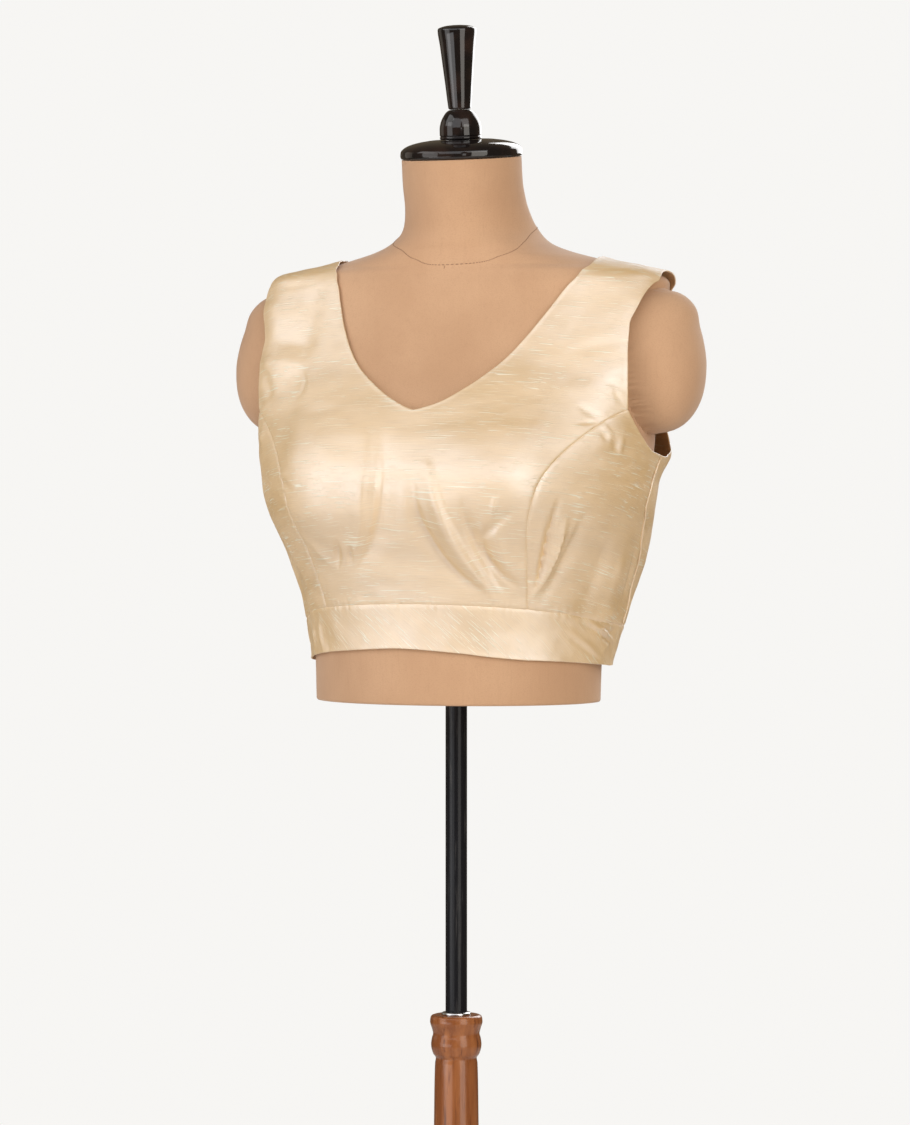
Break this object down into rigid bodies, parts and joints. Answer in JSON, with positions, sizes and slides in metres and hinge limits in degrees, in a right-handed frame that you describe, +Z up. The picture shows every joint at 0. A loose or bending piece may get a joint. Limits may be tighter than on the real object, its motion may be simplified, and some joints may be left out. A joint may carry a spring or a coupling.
{
  "type": "choli blouse on a limbless dress form with stand",
  "caption": "Sleeveless raw silk choli blouse with leaf-shaped V neck, princess seams and waistband, worn by a cotton-covered limbless dress form on a turned wooden stand.",
  "frame": {"origin": "floor level, on the pole's axis, at the centre of the round base's underside", "axes": "+Z up, the form faces -Y, the form's left side is +X"},
  "size_m": [0.4354, 0.38, 1.5549],
  "materials": {
    "raw_silk": "raw silk with slubs, soft sheen",
    "form_cotton": "tight plain cotton jersey",
    "black_lacquer": "high gloss",
    "black_steel": "gloss black",
    "varnished_wood": "warm brown varnish"
  },
  "bodies": {
    "root": {"choli_front": "raw_silk", "choli_side_front_left": "raw_silk", "choli_side_front_right": "raw_silk", "choli_back_left": "raw_silk", "choli_back_right": "raw_silk", "choli_band_front": "raw_silk", "choli_band_back_left": "raw_silk", "choli_band_back_right": "raw_silk", "form_torso": "form_cotton", "neck_cap": "black_lacquer", "finial_ball": "black_lacquer", "finial_handle": "black_lacquer", "pole": "black_steel", "stand_column": "varnished_wood", "stand_base": "varnished_wood"}
  },
  "joints": []
}
